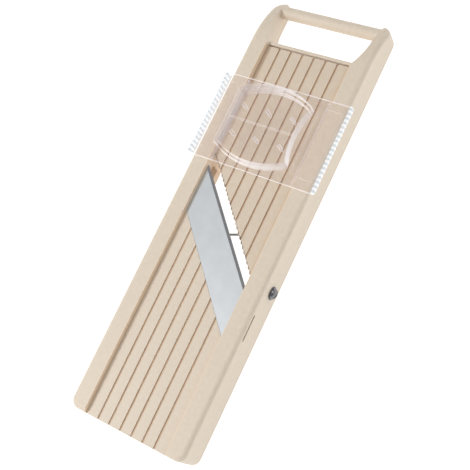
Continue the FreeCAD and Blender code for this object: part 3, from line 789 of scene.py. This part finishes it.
@dataclass
class Blade:
    """The leaning blade with its bevel, the fixings below the bed and the throat's strut."""

    blade: str = "main_blade"
    strut: str = "throat_strut"
    fixings: tuple[str, ...] = ("blade_nuts", "blade_washers", "blade_studs")
    upright: float = 0.3
    flat: float = 0.98
    crisp_angle: float = 12.0

    def bevel_facing(self) -> Vector:
        """The direction that the ground bevel faces.

        Returns:
            The unit normal of the largest leaning face that looks up.
        """
        faces = [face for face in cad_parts[self.blade].data.polygons
                 if self.upright < face.normal.z < self.flat]
        return max(faces, key=lambda face: face.area).normal.copy()

    def build(self) -> None:
        """Keep the bevel crisp, and round the fixings' and the strut's edges a little."""
        smooth(self.blade, self.crisp_angle)
        for node in self.fixings:
            soften(node, Edge.FINE)
        soften(self.strut, Edge.MACHINED)

    def dress(self) -> None:
        """Give the blade its satin steel, the fixings theirs, and the strut a steel painted dark as shade.
        """
        facing = self.bevel_facing()
        angle = math.pi / 2 - math.atan2(facing.y, facing.x)
        satin = BladeSteel("blade_steel", tone=(0.60, 0.625, 0.645), roughness=0.34, grain=Grain.ALONG,
                           angle=angle, bevel_facing=facing)
        paint(self.blade, satin.make())
        paint(self.fixings, Steel("plain_steel", tone=(0.52, 0.53, 0.54), grain=Grain.TURNED).make())
        # painted shade: the strut's steel is painted very dark for the shade that it lies in
        paint(self.strut, Steel("shaded_strut_steel", tone=(0.2, 0.2, 0.2), roughness=0.4).make())


@dataclass
class Ramp:
    """The toothed ramp, its hinge pin and its threaded insert."""

    # where the painted shadow line beside the rails lies on the ramp
    seam_near: float = 2.0 * MM
    seam_far: float = 3.6 * MM

    def build(self) -> None:
        """Keep the ramp's teeth crisp, and round the insert's edges finely."""
        smooth("upper_ramp")
        soften("ramp_insert", Edge.FINE)

    def dress(self) -> None:
        """Give the ramp its slightly darker plastic, with painted shade in its grooves, a painted shadow
        line along its rail seams and painted shade on its teeth, and the metal pieces theirs.
        """
        grooves = PaintedGrooveShade(top_level=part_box("upper_ramp")[1].z, seam_near=self.seam_near,
                              seam_far=self.seam_far)
        plastic = MouldedPlastic("ramp_plastic", tone=(0.68, 0.578, 0.46), grooves=grooves,
                                 teeth=PaintedToothShade())
        paint("upper_ramp", plastic.make())
        paint("ramp_insert", Steel("brass", tone=BRASS, grain=Grain.TURNED).make())
        paint("ramp_pivot_pin", Steel("pin_steel", grain=Grain.TURNED).make())


@dataclass
class Adjuster:
    """The thickness screw with its knob, clip, washer and bush."""

    screw_pieces: tuple[str, ...] = ("adjusting_screw", "screw_clip", "thrust_washer")

    def build(self) -> None:
        """Round the knob's flutes and the small turned pieces."""
        soften("adjusting_knob", Edge.MOULDED, segments=3)
        for node in (*self.screw_pieces, "bridge_bush"):
            soften(node, Edge.MACHINED)

    def dress(self) -> None:
        """Give the knob its plastic and the rest its metals."""
        knob = MouldedPlastic("knob_plastic", tone=(0.70, 0.59, 0.46), roughness=0.4)
        paint("adjusting_knob", knob.make())
        paint(self.screw_pieces, Steel("screw_steel", tone=(0.58, 0.59, 0.6), grain=Grain.TURNED).make())
        paint("bridge_bush", Steel("bush_brass", tone=BRASS, grain=Grain.TURNED).make())


@dataclass
class ClampScrew:
    """The dome-headed clamp screw in the right rail, with its washer and insert."""

    plated: tuple[str, ...] = ("side_screw", "side_washer")
    insert: str = "side_insert"

    def build(self) -> None:
        """Round the screw's slot, the washer's rim and the insert."""
        for node in (*self.plated, self.insert):
            soften(node, Edge.FINE)

    def dress(self) -> None:
        """Give the screw and washer their bright plating, painted dark as a stand-in for dark reflections,
        and the insert its brass.
        """
        # painted reflection: the plating is painted dark to stand in for the dark surroundings that chrome
        # reflects
        plating = Steel("plating_dark_reflection", tone=(0.2, 0.2, 0.21), roughness=0.12, line_strength=0.04)
        paint(self.plated, plating.make())
        paint(self.insert, Steel("insert_brass", tone=BRASS, grain=Grain.TURNED).make())


@dataclass
class FingerGuard:
    """The clear guard with its food spikes."""

    shell: str = "guard_shell"
    spikes: str = "guard_spikes"

    def build(self) -> None:
        """Shade the guard smoothly between its sharp edges."""
        smooth(self.shell)

    def dress(self) -> None:
        """Give the guard and its spikes their clear plastic."""
        paint((self.shell, self.spikes), ClearPlastic("clear_plastic").make())


# ------------------------------------------------------------------ studio

@dataclass(frozen=True)
class SoftLamp:
    """One soft square lamp that points at the slicer."""

    name: str
    toward: Colour
    size: float
    watts: float

    def hang(self, middle: Vector, distance: float) -> None:
        """Hang the lamp.

        Args:
            middle: The point that it lights.
            distance: How far from that point it hangs.
        """
        data = bpy.data.lights.new(self.name, "AREA")
        data.shape = "RECTANGLE"
        data.size = self.size
        data.size_y = self.size
        data.energy = self.watts
        lamp = bpy.data.objects.new(self.name, data)
        lamp.location = middle + Vector(self.toward).normalized() * distance
        lamp.rotation_mode = "QUATERNION"
        lamp.rotation_quaternion = (middle - lamp.location).to_track_quat("-Z", "Y")
        bpy.context.scene.collection.objects.link(lamp)


@dataclass
class Studio:
    """A pale floor, an even surround and soft lamps, the main one from the left."""

    floor_reach: float = 6.0
    floor_drop: float = 0.3 * MM
    floor_tone: Colour = (0.35, 0.35, 0.35)
    floor_light: Colour = (1.0, 1.0, 1.0)
    floor_glow: float = 0.95
    floor_sides: int = 96
    floor_roughness: float = 0.9
    fibre_size: float = 2.0 * MM
    fibre_depth: float = 0.02 * MM
    fibre_strength: float = 0.1
    horizon: Colour = (0.95, 0.95, 0.95)
    overhead: Colour = (0.42, 0.42, 0.42)
    pale_up_to: float = 0.12
    dim_from: float = 0.3
    lamp_distance: float = 1.3
    key_rise: float = math.radians(54.0)

    def build(self) -> None:
        """Lay the floor, light the surround and hang the lamps."""
        self.lay_floor()
        self.light_surround()
        low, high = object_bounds()
        key = (-math.cos(self.key_rise), -0.38, math.sin(self.key_rise))
        for lamp in (SoftLamp("key_lamp", toward=key, size=0.3, watts=7.6),
                     SoftLamp("top_lamp", toward=(-0.38, 0.25, 0.88), size=1.0, watts=1.6),
                     SoftLamp("fill_lamp", toward=(0.72, 0.3, 0.62), size=0.9, watts=2.6),
                     SoftLamp("glint_lamp", toward=(-0.45, -0.8, 0.4), size=0.2, watts=1.5)):
            lamp.hang((low + high) / 2, self.lamp_distance)

    def lay_floor(self) -> None:
        """Lay a wide pale sheet just under the slicer."""
        mesh = bpy.data.meshes.new("floor")
        shape = bmesh.new()
        bmesh.ops.create_circle(shape, cap_ends=True, segments=self.floor_sides, radius=self.floor_reach)
        shape.to_mesh(mesh)
        shape.free()
        floor = bpy.data.objects.new("floor", mesh)
        floor.location.z = -self.floor_drop
        bpy.context.scene.collection.objects.link(floor)
        recipe = Recipe("floor_paper")
        fibres = recipe.bump(recipe.noise(self.fibre_size), self.fibre_depth, self.fibre_strength)
        recipe.set(Base_Color=self.floor_tone, Roughness=self.floor_roughness, Normal=fibres)
        recipe.set(Emission_Color=self.floor_light, Emission_Strength=self.floor_glow)
        mesh.materials.append(recipe.material)
        floor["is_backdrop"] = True

    def light_surround(self) -> None:
        """Fill the room with light that is pale all round and softer overhead."""
        world = bpy.data.worlds.new("surround")
        world.use_nodes = True
        nodes, links = world.node_tree.nodes, world.node_tree.links
        height = nodes.new("ShaderNodeSeparateXYZ")
        links.new(nodes.new("ShaderNodeTexCoord").outputs["Generated"], height.inputs[0])
        rise = nodes.new("ShaderNodeMapRange")
        rise.interpolation_type = "SMOOTHSTEP"
        rise.inputs["From Min"].default_value = self.pale_up_to
        rise.inputs["From Max"].default_value = self.dim_from
        links.new(height.outputs["Z"], rise.inputs["Value"])
        shade = nodes.new("ShaderNodeMix")
        shade.data_type = "RGBA"
        links.new(rise.outputs["Result"], shade.inputs["Factor"])
        shade.inputs[6].default_value = (*self.horizon, 1.0)
        shade.inputs[7].default_value = (*self.overhead, 1.0)
        links.new(shade.outputs[2], nodes["Background"].inputs["Color"])
        bpy.context.scene.world = world
        bpy.context.scene.view_settings.view_transform = "Standard"


@dataclass
class Viewpoint:
    """The camera: where it stands, what it looks at and which way its right side points."""

    spot: Vector = field(default_factory=lambda: Vector((0.2683, -0.1074, 0.5305)))
    target: Vector = field(default_factory=lambda: Vector((0.0091, -0.0144, 0.0208)))
    right: Vector = field(default_factory=lambda: Vector((0.8346, 0.4283, -0.3464)))
    lens: float = 67.46
    near_clip: float = 0.01

    def build(self) -> None:
        """Stand the camera and make it the scene's own."""
        data = bpy.data.cameras.new("camera")
        data.lens = self.lens
        data.clip_start = self.near_clip
        camera = bpy.data.objects.new("camera", data)
        back = (self.spot - self.target).normalized()
        up = back.cross(self.right).normalized()
        side = up.cross(back)
        turn = Matrix((side, up, back)).transposed().to_4x4()
        camera.matrix_world = Matrix.Translation(self.spot) @ turn
        bpy.context.scene.collection.objects.link(camera)
        bpy.context.scene.camera = camera


def main() -> None:
    """Build and dress every sub-assembly, then light the studio and stand the camera."""
    logging.basicConfig(level=logging.INFO, format="%(name)s: %(message)s")
    for assembly in (FrameMoulding(), Blade(), Ramp(), Adjuster(), ClampScrew(), FingerGuard()):
        assembly.build()
        assembly.dress()
        LOG.info("%s done", type(assembly).__name__)
    Studio().build()
    Viewpoint().build()


if __name__ == "__main__":
    main()
